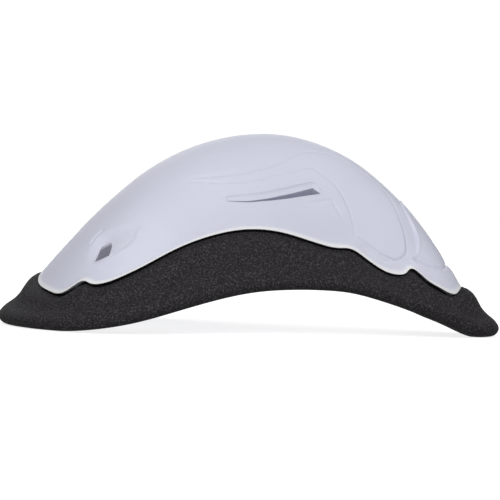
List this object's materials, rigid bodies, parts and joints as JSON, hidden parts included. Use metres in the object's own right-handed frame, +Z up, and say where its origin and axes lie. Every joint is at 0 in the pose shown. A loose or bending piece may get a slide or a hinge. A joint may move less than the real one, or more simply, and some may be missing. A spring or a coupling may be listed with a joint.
{
  "type": "groin guard",
  "caption": "Hard white plastic groin guard: a hollow sculpted cup with side slots and vents, seated in a flared soft black foam rim that lies against the body.",
  "frame": {"origin": "middle of the bounding box on the surface that the rim lies on", "axes": "+X from the wide belly end to the narrow crotch end, +Y across, +Z up out of the dome"},
  "size_m": [0.152, 0.1104, 0.0593],
  "materials": {
    "hard_plastic": "satin moulded white plastic",
    "soft_foam": "matt, fine-grained moulded foam"
  },
  "bodies": {
    "root": {"shell": "hard_plastic", "foam_rim": "soft_foam"}
  },
  "joints": []
}
